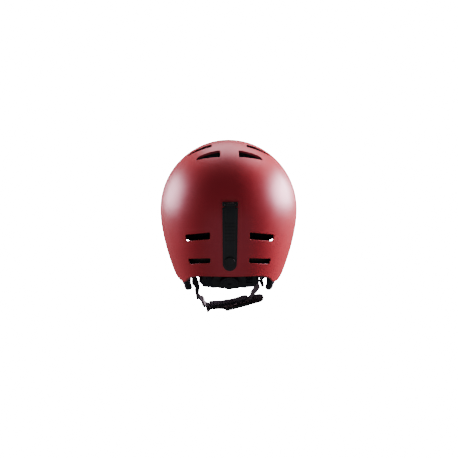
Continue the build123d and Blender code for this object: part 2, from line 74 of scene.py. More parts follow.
class Weave(Enum):
    """Cloths of the padding and straps, as thread spacing in metres and fuzz from 0 to 1."""

    LINING = (0.0011, 0.25)
    SOFTSHELL = (0.0008, 0.2)
    FLEECE = (0.0014, 0.9)
    FOAM_CLOTH = (0.0012, 0.4)


# ---------------------------------------------------------------- finishes
class Graph:
    """A new material and short calls for wiring its nodes."""

    def __init__(self, name: str) -> None:
        """Starts the material with its shader and the object's own coordinates."""
        self.material = bpy.data.materials.new(name)
        self.material.use_nodes = True
        self.tree = self.material.node_tree
        self.shader = self.tree.nodes["Principled BSDF"]
        self.place = self.add("ShaderNodeTexCoord").outputs["Object"]

    def add(self, kind: str, **settings: object) -> bpy.types.Node:
        """Adds a node.

        Args:
            kind: the node's type name.
            settings: attributes to set on it.

        Returns:
            The new node.
        """
        node = self.tree.nodes.new(kind)
        for key, value in settings.items():
            setattr(node, key, value)
        return node

    def join(self, source: bpy.types.NodeSocket, target: bpy.types.NodeSocket) -> None:
        """Links one socket to another."""
        self.tree.links.new(source, target)

    def base(self, color: Sequence[float], roughness: float, specular: float = 0.5) -> None:
        """Sets the shader's plain colour, roughness and specular level."""
        self.shader.inputs["Base Color"].default_value = (*color, 1.0)
        self.shader.inputs["Roughness"].default_value = roughness
        self.shader.inputs["Specular IOR Level"].default_value = specular

    def noise(
        self, scale: float, detail: float = 3.0, place: bpy.types.NodeSocket | None = None
    ) -> bpy.types.NodeSocket:
        """Adds a noise pattern.

        Args:
            scale: how many cells it has per metre.
            detail: its octaves.
            place: coordinates other than the object's own.

        Returns:
            Its value from 0 to 1.
        """
        node = self.add("ShaderNodeTexNoise")
        node.inputs["Scale"].default_value = scale
        node.inputs["Detail"].default_value = detail
        self.join(place or self.place, node.inputs["Vector"])
        return node.outputs["Fac"]

    def math(self, kind: str, first: object, second: object = 0.0) -> bpy.types.NodeSocket:
        """Combines two sockets or numbers.

        Args:
            kind: the operation.
            first: a socket or a number.
            second: a socket or a number.

        Returns:
            The result's socket.
        """
        node = self.add("ShaderNodeMath", operation=kind)
        for index, value in enumerate((first, second)):
            if isinstance(value, bpy.types.NodeSocket):
                self.join(value, node.inputs[index])
            else:
                node.inputs[index].default_value = value
        return node.outputs[0]

    def spread(self, value: bpy.types.NodeSocket, low: float, high: float) -> bpy.types.NodeSocket:
        """Maps 0 to 1 onto low to high and returns the socket."""
        node = self.add("ShaderNodeMapRange")
        node.inputs["To Min"].default_value = low
        node.inputs["To Max"].default_value = high
        self.join(value, node.inputs["Value"])
        return node.outputs["Result"]

    def tint(self, factor: bpy.types.NodeSocket, dark: Sequence[float], light: Sequence[float]) -> None:
        """Colours the shader between two tones by a factor."""
        node = self.add("ShaderNodeValToRGB")
        node.color_ramp.elements[0].color = (*dark, 1.0)
        node.color_ramp.elements[1].color = (*light, 1.0)
        node.color_ramp.elements[0].position = 0.3
        node.color_ramp.elements[1].position = 0.7
        self.join(factor, node.inputs["Fac"])
        self.join(node.outputs["Color"], self.shader.inputs["Base Color"])

    def rough(self, factor: bpy.types.NodeSocket, low: float, high: float) -> None:
        """Varies the shader's roughness between two values by a factor."""
        self.join(self.spread(factor, low, high), self.shader.inputs["Roughness"])

    def bump(self, height: bpy.types.NodeSocket, depth: float, strength: float = 1.0) -> None:
        """Adds relief of a depth in metres on top of any relief already there."""
        node = self.add("ShaderNodeBump")
        node.inputs["Distance"].default_value = depth
        node.inputs["Strength"].default_value = strength
        self.join(height, node.inputs["Height"])
        socket = self.shader.inputs["Normal"]
        if socket.is_linked:
            self.join(socket.links[0].from_socket, node.inputs["Normal"])
        self.join(node.outputs["Normal"], socket)

    def waves(
        self, turn: Sequence[float], spacing: float, place: bpy.types.NodeSocket | None = None
    ) -> bpy.types.NodeSocket:
        """Adds parallel threads.

        Args:
            turn: how far the threads are turned about each axis, in radians.
            spacing: the distance between threads in metres.
            place: coordinates other than the object's own.

        Returns:
            The threads' height from 0 to 1.
        """
        mapping = self.add("ShaderNodeMapping")
        mapping.inputs["Rotation"].default_value = turn
        self.join(place or self.place, mapping.inputs["Vector"])
        node = self.add("ShaderNodeTexWave", wave_type="BANDS", bands_direction="X")
        node.inputs["Scale"].default_value = 2 * math.pi / (20.0 * spacing)
        node.inputs["Distortion"].default_value = 0.6
        node.inputs["Detail"].default_value = 1.0
        node.inputs["Detail Scale"].default_value = 1.0
        self.join(mapping.outputs["Vector"], node.inputs["Vector"])
        return node.outputs["Fac"]


@dataclass(frozen=True)
class SatinShell:
    """Sprayed satin paint on the hard shell, with bare black plastic inside.

    A face is bare or painted by the cosine between its normal and the way out from the middle.
    """

    tone: Tone = (0.29, 0.018, 0.024)
    bare: Tone = (0.006, 0.006, 0.007)
    roughness: float = 0.38
    gleam: Tone = (1.0, 0.50, 0.66)
    middle: Place = (0.0, 0.0, 0.085)
    bare_below: float = 0.42
    painted_above: float = 0.60

    def material(self) -> bpy.types.Material:
        """Returns the paint: faint mottling, fine orange peel and uneven gloss, bare plastic inside."""
        graph = Graph("satin_shell")
        graph.base(self.tone, self.roughness, 0.4)
        graph.shader.inputs["Specular Tint"].default_value = (*self.gleam, 1.0)
        cloud = graph.noise(14.0, 4.0)
        low = tuple(0.93 * part for part in self.tone)
        high = tuple(min(1.0, 1.07 * part) for part in self.tone)
        graph.tint(cloud, low, high)
        graph.rough(graph.noise(60.0, 5.0), self.roughness - 0.04, self.roughness + 0.05)
        graph.bump(graph.noise(420.0, 2.0), 0.00004, 0.5)
        graph.bump(graph.noise(3200.0, 2.0), 0.00002, 0.35)
        self.bare_inside(graph)
        return graph.material

    def bare_inside(self, graph: Graph) -> None:
        """Leaves the faces that look inwards, and the walls of the slots, unpainted."""
        outward = graph.add("ShaderNodeVectorMath", operation="SUBTRACT")
        outward.inputs[1].default_value = self.middle
        graph.join(graph.place, outward.inputs[0])
        level = graph.add("ShaderNodeVectorMath", operation="NORMALIZE")
        graph.join(outward.outputs["Vector"], level.inputs[0])
        facing = graph.add("ShaderNodeVectorMath", operation="DOT_PRODUCT")
        graph.join(level.outputs["Vector"], facing.inputs[0])
        graph.join(graph.add("ShaderNodeTexCoord").outputs["Normal"], facing.inputs[1])
        painted = graph.add("ShaderNodeMapRange")
        painted.inputs["From Min"].default_value = self.bare_below
        painted.inputs["From Max"].default_value = self.painted_above
        graph.join(facing.outputs["Value"], painted.inputs["Value"])
        choose = graph.add("ShaderNodeMix", data_type="RGBA")
        factor, bare, paint = (slot for slot in choose.inputs if slot.enabled)
        bare.default_value = (*self.bare, 1.0)
        graph.join(painted.outputs["Result"], factor)
        color = graph.shader.inputs["Base Color"]
        graph.join(color.links[0].from_socket, paint)
        graph.join(next(slot for slot in choose.outputs if slot.enabled), color)


@dataclass(frozen=True)
class BeadFoam:
    """Black expanded bead foam."""

    tone: Tone = (0.012, 0.012, 0.013)
    bead: float = 0.0032

    def material(self) -> bpy.types.Material:
        """Returns the foam: packed beads with fine gaps between them."""
        graph = Graph("bead_foam")
        graph.base(self.tone, 0.82, 0.35)
        beads = graph.add("ShaderNodeTexVoronoi", feature="F1")
        beads.inputs["Scale"].default_value = 1.0 / self.bead
        graph.join(graph.place, beads.inputs["Vector"])
        graph.tint(graph.noise(300.0, 3.0), self.tone, tuple(1.9 * part for part in self.tone))
        graph.rough(beads.outputs["Distance"], 0.72, 0.95)
        graph.bump(graph.math("SUBTRACT", 1.0, beads.outputs["Distance"]), 0.0003, 0.6)
        return graph.material


@dataclass(frozen=True)
class Cloth:
    """Knitted or brushed cloth over padding."""

    name: str
    weave: Weave
    tone: Tone = (0.008, 0.0085, 0.011)

    def material(self) -> bpy.types.Material:
        """Returns the cloth: crossed threads, fuzz and lint."""
        spacing, fuzz = self.weave.value
        graph = Graph(self.name)
        graph.base(self.tone, 0.9, 0.08)
        graph.shader.inputs["Sheen Weight"].default_value = 0.04 + 0.08 * fuzz
        graph.shader.inputs["Sheen Roughness"].default_value = 0.45
        graph.shader.inputs["Sheen Tint"].default_value = (0.68, 0.72, 0.85, 1.0)
        along = graph.waves((0.4, 0.2, 0.0), spacing)
        across = graph.waves((0.4, 0.2, math.pi / 2), spacing)
        threads = graph.math("MULTIPLY", along, across)
        lint = graph.noise(180.0, 6.0)
        tones = graph.math("MULTIPLY_ADD", threads, 0.35)
        graph.join(lint, tones.node.inputs[2])
        light = tuple(2.3 * part for part in self.tone)
        graph.tint(tones, tuple(0.6 * part for part in self.tone), light)
        graph.rough(lint, 0.78, 1.0)
        graph.bump(threads, 0.00025 * (1.0 - 0.5 * fuzz), 0.7)
        graph.bump(graph.noise(900.0, 5.0), 0.00008 + 0.00022 * fuzz, 0.8)
        return graph.material


@dataclass(frozen=True)
class WovenStrap:
    """Flat nylon webbing, woven along the strap's own length."""

    tone: Tone = (0.0045, 0.0045, 0.006)
    rib: float = 0.0013
    width: float = 0.016
    cords: float = 9.0

    def material(self) -> bpy.types.Material:
        """Returns the webbing: cross ribs and lengthwise cords on the strap's own map, in metres."""
        graph = Graph("woven_strap")
        graph.base(self.tone, 0.8, 0.08)
        strip = graph.add("ShaderNodeUVMap", uv_map="strap").outputs["UV"]
        ribs = graph.waves((0.0, 0.0, 0.0), self.rib, strip)
        cords = graph.waves((0.0, 0.0, math.pi / 2), self.width / self.cords, strip)
        weave = graph.math("MULTIPLY", ribs, cords)
        lint = graph.noise(260.0, 5.0)
        tones = graph.math("MULTIPLY_ADD", weave, 0.5)
        graph.join(lint, tones.node.inputs[2])
        graph.tint(tones, tuple(0.6 * part for part in self.tone), tuple(1.9 * part for part in self.tone))
        graph.rough(lint, 0.72, 0.92)
        graph.bump(weave, 0.0003, 0.8)
        return graph.material


@dataclass(frozen=True)
class Moulding:
    """Moulded plastic or rubber with a spark-textured face."""

    name: str
    tone: Tone
    roughness: float
    grain: float = 1400.0
    depth: float = 0.00006
    gloss: float = 0.24

    def material(self) -> bpy.types.Material:
        """Returns the moulding: fine grain, faint flow marks and rubbed high spots."""
        graph = Graph(self.name)
        graph.base(self.tone, self.roughness, self.gloss)
        flow = graph.noise(35.0, 4.0)
        graph.tint(flow, tuple(0.85 * part for part in self.tone), tuple(1.3 * part for part in self.tone))
        graph.rough(graph.noise(120.0, 5.0), self.roughness - 0.08, self.roughness + 0.1)
        graph.bump(graph.noise(self.grain, 3.0), self.depth, 0.6)
        return graph.material


@dataclass(frozen=True)
class BrushedSteel:
    """Turned and brushed metal of screws, pins and magnets."""

    name: str = "brushed_steel"
    tone: Tone = (0.45, 0.45, 0.47)
    roughness: float = 0.35

    def material(self) -> bpy.types.Material:
        """Returns the metal: drawn scratches and uneven shine."""
        graph = Graph(self.name)
        graph.base(self.tone, self.roughness, 0.5)
        graph.shader.inputs["Metallic"].default_value = 1.0
        stretch = graph.add("ShaderNodeMapping")
        stretch.inputs["Scale"].default_value = (1.0, 0.08, 0.08)
        graph.join(graph.place, stretch.inputs["Vector"])
        marks = graph.noise(6000.0, 3.0, stretch.outputs["Vector"])
        graph.tint(marks, tuple(0.8 * part for part in self.tone), self.tone)
        graph.rough(marks, self.roughness - 0.1, self.roughness + 0.1)
        graph.bump(marks, 0.00002, 0.4)
        return graph.material


@dataclass
class Finishes:
    """Every finish of the helmet, made once and shared."""

    shell: bpy.types.Material = field(default_factory=lambda: SatinShell().material())
    foam: bpy.types.Material = field(default_factory=lambda: BeadFoam().material())
    lining: bpy.types.Material = field(
        default_factory=lambda: Cloth("lining_cloth", Weave.LINING).material()
    )
    pad: bpy.types.Material = field(
        default_factory=lambda: Cloth("pad_cloth", Weave.FOAM_CLOTH, (0.03, 0.03, 0.034)).material()
    )
    ear: bpy.types.Material = field(
        default_factory=lambda: Cloth("ear_cloth", Weave.SOFTSHELL).material()
    )
    fleece: bpy.types.Material = field(
        default_factory=lambda: Cloth("fleece", Weave.FLEECE, (0.006, 0.006, 0.008)).material()
    )
    webbing: bpy.types.Material = field(default_factory=lambda: WovenStrap().material())
    rubber: bpy.types.Material = field(
        default_factory=lambda: Moulding("strap_rubber", (0.0088, 0.0090, 0.0118), 0.55, 900.0).material()
    )
    tab: bpy.types.Material = field(
        default_factory=lambda: Moulding(
            "tab_rubber", (0.007, 0.0075, 0.0105), 0.7, 700.0, gloss=0.08
        ).material()
    )
    plastic: bpy.types.Material = field(
        default_factory=lambda: Moulding("black_moulding", (0.006, 0.0063, 0.008), 0.5).material()
    )
    dial: bpy.types.Material = field(
        default_factory=lambda: Moulding("dial_moulding", (0.010, 0.010, 0.013), 0.52).material()
    )
    steel: bpy.types.Material = field(default_factory=lambda: BrushedSteel().material())
    blacked: bpy.types.Material = field(
        default_factory=lambda: BrushedSteel("blacked_steel", (0.03, 0.03, 0.034), 0.5).material()
    )


# ---------------------------------------------------------------- pieces
def piece_from(
    name: str, bm: bmesh.types.BMesh, material: bpy.types.Material, sharp: float = 50.0
) -> bpy.types.Object:
    """Turns a finished bmesh into a shown object.

    Args:
        name: the piece's name.
        bm: the mesh, freed afterwards.
        material: its finish.
        sharp: the angle in degrees past which an edge stays crisp.

    Returns:
        The object, at the origin.
    """
    mesh = bpy.data.meshes.new(name)
    for face in bm.faces:
        face.smooth = True
    bm.to_mesh(mesh)
    bm.free()
    mesh.set_sharp_from_angle(angle=math.radians(sharp))
    mesh.materials.append(material)
    made = bpy.data.objects.new(name, mesh)
    bpy.context.scene.collection.objects.link(made)
    return made


def mount(made: bpy.types.Object, body: str | None, nodes: Sequence[str]) -> None:
    """Puts a piece on its body and hides the nodes it stands for.

    Args:
        made: the piece.
        body: the body it rides on, or None to leave it on no body.
        nodes: the nodes that it replaces.
    """
    if body:
        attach(made, body)
    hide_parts(*nodes)
    LOG.info("%s rides on %s with %d faces", made.name, body or "two bodies", len(made.data.polygons))


def dress(material: bpy.types.Material, *nodes: str) -> None:
    """Gives CAD nodes a finish.

    Args:
        material: the finish.
        nodes: the nodes' names.
    """
    for name in nodes:
        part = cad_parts[name]
        part.data.materials.clear()
        part.data.materials.append(material)
        LOG.info("%s is finished in %s", name, material.name)


def evaluated_mesh(made: bpy.types.Object) -> bpy.types.Mesh:
    """Returns a new mesh with the object's modifiers applied."""
    graph = bpy.context.evaluated_depsgraph_get()
    return bpy.data.meshes.new_from_object(made.evaluated_get(graph))


@dataclass
class Dome:
    """The helmet's egg shape, for telling how deep a point lies under its skin."""

    half_width: float = 0.1086
    widest: float = 0.103
    rise: float = 0.1104
    front: float = 0.137
    rear: float = 0.131
    taper: float = 0.375
    taper_height: float = 0.14
    taper_power: float = 1.75

    def inset(self, spot: Vector) -> float:
        """How far a point lies inside the skin, in metres, roughly measured along the radius."""
        reach = self.front if spot.y > 0 else self.rear
        low = max(0.0, (self.widest - spot.z) / self.taper_height)
        shrink = 1.0 - self.taper * low ** self.taper_power if low > 0 else 1.0
        up = max(0.0, spot.z - self.widest) / self.rise
        wide, long = spot.x / (self.half_width * shrink), spot.y / (reach * shrink)
        ratio = math.sqrt(wide ** 2 + long ** 2 + up ** 2)
        return (1.0 - ratio) * spot.length if up > 0 else (1.0 - ratio) * Vector((spot.x, spot.y)).length


@dataclass
class Cushion:
    """A padded piece blown up from its CAD solid."""

    name: str
    node: str
    body: str
    slot: str
    material: bpy.types.Material
    voxel: float = 0.0045
    shrink: float = 0.0014
    cap: float = 0.0035
    pressure: float = 4.0
    fill: float = 0.6
    groove: float = 0.0011
    wrinkle: float = 0.0004
    soften: int = 2
    seams: Sequence[Seam] = ()
    seam_width: float = 0.0016
    wrinkles_per_m: float = 70.0
    sim_steps: int = 20

    def blank(self) -> bpy.types.Object:
        """Returns the solid drawn in a little and remeshed evenly."""
        bm = bmesh.new()
        bm.from_mesh(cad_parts[self.node].data)
        bmesh.ops.remove_doubles(bm, verts=bm.verts, dist=MERGE_DISTANCE)
        bmesh.ops.recalc_face_normals(bm, faces=bm.faces)
        bm.normal_update()
        for vert in bm.verts:
            vert.co -= vert.normal * self.shrink
        made = piece_from(self.name, bm, self.material, ALL_SMOOTH)
        remesh = made.modifiers.new("even", "REMESH")
        remesh.mode = "VOXEL"
        remesh.voxel_size = self.voxel
        made.data = evaluated_mesh(made)
        made.modifiers.clear()
        return made

    def blow_up(self, made: bpy.types.Object) -> None:
        """Swells the blank with a short cloth simulation, each point kept near its start."""
        rest = [vert.co.copy() for vert in made.data.vertices]
        cloth = made.modifiers.new("stuffing", "CLOTH")
        cloth.settings.use_pressure = True
        cloth.settings.uniform_pressure_force = self.pressure
        cloth.settings.effector_weights.gravity = 0.0
        cloth.settings.quality = 6
        cloth.settings.mass = 0.3
        cloth.settings.tension_stiffness = 15.0
        cloth.settings.compression_stiffness = 15.0
        cloth.settings.bending_stiffness = 0.5
        cloth.collision_settings.use_collision = False
        scene = bpy.context.scene
        for step in range(1, self.sim_steps + 1):
            scene.frame_set(step)
        swollen = evaluated_mesh(made)
        made.modifiers.clear()
        scene.frame_set(1)
        made.data = swollen
        for vert, start in zip(swollen.vertices, rest):
            moved = vert.co - start
            if moved.length > self.cap:
                vert.co = start + moved.normalized() * self.cap

    def refine(self, made: bpy.types.Object) -> None:
        """Relaxes the swollen mesh, subdivides it once and presses in its seams and wrinkles."""
        bm = bmesh.new()
        bm.from_mesh(made.data)
        for _ in range(self.soften):
            bmesh.ops.smooth_vert(
                bm, verts=bm.verts, factor=0.5, use_axis_x=True, use_axis_y=True, use_axis_z=True
            )
        bmesh.ops.recalc_face_normals(bm, faces=bm.faces)
        bm.to_mesh(made.data)
        bm.free()
        finer = made.modifiers.new("finer", "SUBSURF")
        finer.levels = finer.render_levels = 1
        made.data = evaluated_mesh(made)
        made.modifiers.clear()
        for vert in made.data.vertices:
            push = 0.0
            for seam in self.seams:
                near = seam(vert.co) / self.seam_width
                push = max(push, math.exp(-near * near))
            crease = noise.noise(vert.co * self.wrinkles_per_m) * self.wrinkle
            vert.co -= vert.normal * (self.groove * push + crease)
        for face in made.data.polygons:
            face.use_smooth = True

    def build(self) -> None:
        """Makes the cushion and mounts it."""
        made = self.blank()
        self.blow_up(made)
        self.refine(made)
        made.data.materials.clear()
        made.data.materials.append(self.material)
        mount(made, self.body, (self.node,))


@dataclass
class ClothLayer:
    """A thin layer of cloth that lies on a hard part: its CAD solid with fine relief."""

    name: str
    node: str
    slot: str
    material: bpy.types.Material
    relief: Callable[[Vector], float]
    longest: float = 0.006
    fill: float = 0.1

    def build(self) -> None:
        """Merges a copy of the solid, divides its long edges and raises the relief."""
        bm = bmesh.new()
        bm.from_mesh(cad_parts[self.node].data)
        bmesh.ops.remove_doubles(bm, verts=bm.verts, dist=MERGE_DISTANCE)
        for _ in range(3):
            long_edges = [edge for edge in bm.edges if edge.calc_length() > self.longest]
            bmesh.ops.subdivide_edges(bm, edges=long_edges, cuts=1)
            bmesh.ops.triangulate(bm, faces=bm.faces)
        bmesh.ops.recalc_face_normals(bm, faces=bm.faces)
        bm.normal_update()
        moves = [(vert, vert.normal * self.relief(vert.co)) for vert in bm.verts]
        for vert, move in moves:
            vert.co += move
        made = piece_from(self.name, bm, self.material, CRISP_RIM)
        mount(made, "helmet", (self.node,))


@dataclass
class Strap:
    """Flat webbing through stations of a centre and a width direction."""

    name: str
    stations: Sequence[tuple[Vector, Vector]]
    width: float = 0.016
    thick: float = 0.0016
    steps: int = 10
    rows: int = 6

    def spot(self, where: float) -> tuple[Vector, Vector]:
        """Centre and width direction at a place along the strap.

        Args:
            where: from 0 to the number of stations less one.

        Returns:
            The point on the smooth centre line, and the width direction there.
        """
        last = len(self.stations) - 1
        index = min(int(where), last - 1)
        part = where - index
        picks = [self.stations[min(max(index + shift, 0), last)] for shift in (-1, 0, 1, 2)]
        values = []
        for which in (0, 1):
            a, b, c, d = (pick[which] for pick in picks)
            value = b * 2.0 + (c - a) * part
            value += (a * 2.0 - b * 5.0 + c * 4.0 - d) * part ** 2
            value += (b * 3.0 - a - c * 3.0 + d) * part ** 3
            values.append(value * 0.5)
        return values[0], values[1].normalized()

    def build(self, material: bpy.types.Material) -> bpy.types.Object:
        """Bends a flat grid to the stations, maps it in metres and gives it thickness.

        Args:
            material: the webbing's finish.

        Returns:
            The strap.
        """
        spans = (len(self.stations) - 1) * self.steps
        bm = bmesh.new()
        bmesh.ops.create_grid(bm, x_segments=spans, y_segments=self.rows, size=0.5)
        lengths = [0.0]
        centres = [self.spot(step / self.steps) for step in range(spans + 1)]
        for before, after in zip(centres, centres[1:]):
            lengths.append(lengths[-1] + (after[0] - before[0]).length)
        strip = bm.loops.layers.uv.new("strap")
        flat, facing = {}, {}
        for vert in bm.verts:
            step = round((vert.co.x + 0.5) * spans)
            flat[vert] = (lengths[step], vert.co.y * self.width)
            centre, across = centres[step]
            ahead = centres[min(step + 1, spans)][0] - centres[max(step - 1, 0)][0]
            face = across.cross(ahead).normalized()
            vert.co = centre + across * (vert.co.y * self.width) + face * (self.thick / 2.0)
            facing[vert] = face
        for face in bm.faces:
            for loop in face.loops:
                loop[strip].uv = flat[loop.vert]
        bm.normal_update()
        bm.faces.ensure_lookup_table()
        first = bm.faces[0]
        if first.normal.dot(facing[first.verts[0]]) < 0.0:
            bmesh.ops.reverse_faces(bm, faces=bm.faces)
        bmesh.ops.solidify(bm, geom=bm.faces[:], thickness=self.thick)
        bm.normal_update()
        rims = [edge for edge in bm.edges if len(edge.link_faces) == 2 and edge.calc_face_angle(0.0) > 1.0]
        bmesh.ops.bevel(
            bm,
            geom=rims,
            offset=self.thick * 0.3,
            offset_type="OFFSET",
            affect="EDGES",
            segments=2,
            profile=0.5,
            material=-1,
        )
        return piece_from(self.name, bm, material, CRISP_RIM)


# ---------------------------------------------------------------- sub-assemblies
@dataclass
class Studio:
    """Camera, lights, floor and surroundings; none of it belongs to the helmet."""

    aim: Vector = field(default_factory=lambda: Vector((0.0007, 0.0, 0.0713)))
    distance: float = 5.0
    lens: float = 247.2
    turn: float = -1.03
    lift: float = 2.0
    floor_radius: float = 12.0
    floor_level: float = -0.42
    floor_rim: float = 8.0
    floor_sweep: float = 3.0
    floor_glow: float = 25.0
    room_light: float = 0.19

    def camera(self) -> None:
        """Places the camera behind the helmet, a little above it."""
        lens = bpy.data.cameras.new("camera")
        lens.lens = self.lens
        lens.sensor_width = 36.0
        eye = bpy.data.objects.new("camera", lens)
        bpy.context.scene.collection.objects.link(eye)
        turn, lift = math.radians(self.turn), math.radians(self.lift)
        away = Vector((math.sin(turn) * math.cos(lift), -math.cos(turn) * math.cos(lift), math.sin(lift)))
        eye.location = self.aim + away * self.distance
        eye.rotation_euler = (-away).to_track_quat("-Z", "Y").to_euler()
        bpy.context.scene.camera = eye

    def softbox(self, name: str, spot: Place, size: tuple[float, float], power: float, tint: Tone) -> None:
        """Adds one rectangular soft light that faces the helmet.

        Args:
            name: the light's name.
            spot: its place in metres.
            size: its width and height in metres.
            power: its power in watts.
            tint: its colour.
        """
        lamp = bpy.data.lights.new(name, "AREA")
        lamp.shape = "RECTANGLE"
        lamp.size, lamp.size_y = size
        lamp.energy = power
        lamp.color = tint
        made = bpy.data.objects.new(name, lamp)
        made.location = spot
        made.rotation_euler = (Vector((0.0, 0.0, 0.08)) - Vector(spot)).to_track_quat("-Z", "Y").to_euler()
        bpy.context.scene.collection.objects.link(made)

    def floor(self) -> None:
        """Lays a round pale floor whose rim sweeps up; it is clear from underneath."""
        bm = bmesh.new()
        bmesh.ops.create_circle(bm, cap_ends=True, segments=72, radius=self.floor_radius)
        bmesh.ops.translate(bm, verts=bm.verts, vec=(0.0, 0.0, self.floor_level))
        rim = bm.edges[:]
        raised = bmesh.ops.extrude_edge_only(bm, edges=rim)["geom"]
        lifted = [part for part in raised if isinstance(part, bmesh.types.BMVert)]
        bmesh.ops.translate(bm, verts=lifted, vec=(0.0, 0.0, self.floor_rim))
        bmesh.ops.bevel(
            bm, geom=rim, offset=self.floor_sweep, affect="EDGES", segments=12, profile=0.5, material=-1
        )
        bmesh.ops.recalc_face_normals(bm, faces=bm.faces)
        bm.normal_update()
        bm.faces.ensure_lookup_table()
        base = max(bm.faces, key=lambda face: face.calc_area())
        if base.normal.z < 0.0:
            bmesh.ops.reverse_faces(bm, faces=bm.faces)
        graph = Graph("pale_floor")
        graph.base((0.9, 0.9, 0.9), 0.9, 0.2)
        graph.tint(graph.noise(3.0), (0.89, 0.89, 0.89), (0.9, 0.9, 0.9))
        graph.shader.inputs["Emission Color"].default_value = (1.0, 1.0, 1.0, 1.0)
        graph.shader.inputs["Emission Strength"].default_value = self.floor_glow
        clear = graph.add("ShaderNodeBsdfTransparent")
        choose = graph.add("ShaderNodeMixShader")
        graph.join(graph.add("ShaderNodeNewGeometry").outputs["Backfacing"], choose.inputs["Fac"])
        graph.join(graph.shader.outputs["BSDF"], choose.inputs[1])
        graph.join(clear.outputs["BSDF"], choose.inputs[2])
        graph.join(choose.outputs["Shader"], graph.tree.nodes["Material Output"].inputs["Surface"])
        made = piece_from("floor", bm, graph.material)
        made.visible_diffuse = False
        made.visible_glossy = False
        made.visible_shadow = False

    def surroundings(self) -> None:
        """Gives the room a soft pale light."""
        world = bpy.data.worlds.new("room")
        world.use_nodes = True
        back = world.node_tree.nodes["Background"]
        back.inputs["Color"].default_value = (1.0, 1.0, 1.0, 1.0)
        back.inputs["Strength"].default_value = self.room_light
        bpy.context.scene.world = world

    def build(self) -> None:
        """Builds the whole studio."""
        self.camera()
        self.floor()
        self.surroundings()
        self.softbox("left_softbox", (-1.12, 0.62, 0.40), (0.75, 0.55), 38.0, (1.0, 0.72, 0.84))
        self.softbox("right_softbox", (1.14, 0.50, 0.44), (0.85, 0.48), 88.0, (1.0, 0.78, 0.90))
        self.softbox("top_softbox", (0.15, 0.62, 1.15), (1.3, 0.7), 26.0, (1.0, 0.58, 0.64))
        self.softbox("low_bounce", (0.0, -1.6, -0.9), (4.0, 2.0), 14.0, (1.0, 0.98, 1.0))
        LOG.info("studio is set")


@dataclass
class HardParts:
    """CAD nodes whose shape is final and which only need their finish."""

    finishes: Finishes

    def build(self) -> None:
        """Dresses every rigid node."""
        use = self.finishes
        dress(use.shell, "outer_shell")
        dress(use.foam, "foam_liner")
        dress(use.rubber, "goggle_strap")
        dress(use.tab, "pull_tab")
        dress(use.dial, "dial_knob")
        dress(
            use.plastic,
            "snap_cap",
            "goggle_bracket",
            "cradle_back",
            "cradle_cover",
            "rack_left",
            "rack_right",
            "dial_pinion",
            "cradle_hangers",
            "hanger_studs",
            "temple_studs",
            "strap_anchors",
            "divider_left",
            "divider_right",
            "buckle_catch",
            "buckle_tongue",
            "strap_adjuster",
        )
        dress(use.steel, "goggle_pin", "snap_stud", "catch_magnet", "tongue_magnet")
        dress(use.blacked, "cradle_screws", "dial_screw")


@dataclass
class Padding:
    """Every pad of the helmet, blown up from its CAD solid."""

    finishes: Finishes
    dome: Dome = field(default_factory=Dome)
    ear_middle: float = 0.015
    ear_ring: float = 0.012

    @staticmethod
    def quilting(spot: Vector) -> float:
        """Relief of the lining in metres: sewn lines a finger apart, and soft wrinkles."""
        pitch, width = 0.024, 0.0022
        near = min(abs((axis / pitch) % 1.0 - 0.5) for axis in (spot.x, spot.y)) * pitch / width
        return noise.noise(spot * 60.0) * 0.0001 - 0.0004 * math.exp(-near * near)

    @staticmethod
    def hooks(spot: Vector) -> float:
        """Relief of the hook patches in metres."""
        return noise.noise(spot * 1800.0) * 0.00012

    def depth_seam(self, inset: float) -> Seam:
        """Returns the seam that runs round a pad at one depth under the shell."""
        return lambda spot: self.dome.inset(spot) - inset

    def ear(self, side: Side) -> None:
        """Makes one ear pad with its edge seam and the ring round the ear."""
        ear_y, ear_z = -0.002, -0.006

        def ring(spot: Vector) -> float:
            """Distance in metres from the stitched ring round the ear."""
            return Vector((spot.y - ear_y, spot.z - ear_z)).length - self.ear_ring

        Cushion(
            f"ear_cushion_{side.word}",
            f"ear_pad_{side.word}",
            f"ear_pad_{side.word}",
            "ear_fabric",
            self.finishes.ear,
            voxel=0.003,
            shrink=0.0009,
            cap=0.0022,
            fill=0.7,
            seams=(self.depth_seam(self.ear_middle), ring),
        ).build()

    def build(self) -> None:
        """Makes the lining, its hook patches and all pads."""
        lining = self.finishes.lining
        ClothLayer("lining_sheet", "fabric_lining", "lining_fabric", lining, self.quilting).build()
        ClothLayer("hook_dots", "hook_patches", "hook_fabric", self.finishes.pad, self.hooks, 0.003).build()
        for side in Side:
            self.ear(side)
            Cushion(
                f"temple_cushion_{side.word}",
                f"side_pad_{side.word}",
                "helmet",
                "pad_fabric",
                self.finishes.pad,
                seams=(lambda spot: abs(spot.y) - 0.016,),
            ).build()
        Cushion(
            "crown_cushion",
            "crown_pad",
            "helmet",
            "pad_fabric",
            self.finishes.pad,
            voxel=0.005,
            seams=(lambda spot: abs(spot.y) - 0.022, lambda spot: abs(spot.x) - 0.03),
        ).build()
        Cushion(
            "brow_cushion",
            "brow_pad",
            "helmet",
            "pad_fabric",
            self.finishes.pad,
            seams=(lambda spot: abs(spot.x) - 0.035,),
        ).build()
        Cushion(
            "nape_cushion",
            "nape_pad",
            "helmet",
            "pad_fabric",
            self.finishes.ear,
            voxel=0.0026,
            shrink=0.0005,
            cap=0.0016,
            soften=1,
            seams=(lambda spot: abs(spot.x) - 0.018,),
        ).build()
        Cushion(
            "chin_cushion",
            "chin_pad",
            "chin_strap",
            "chin_fabric",
            self.finishes.fleece,
            voxel=0.0022,
            shrink=0.0008,
            cap=0.0016,
            groove=0.0005,
            wrinkle=0.0001,
            soften=5,
            pressure=1.5,
            fill=0.5,
        ).build()


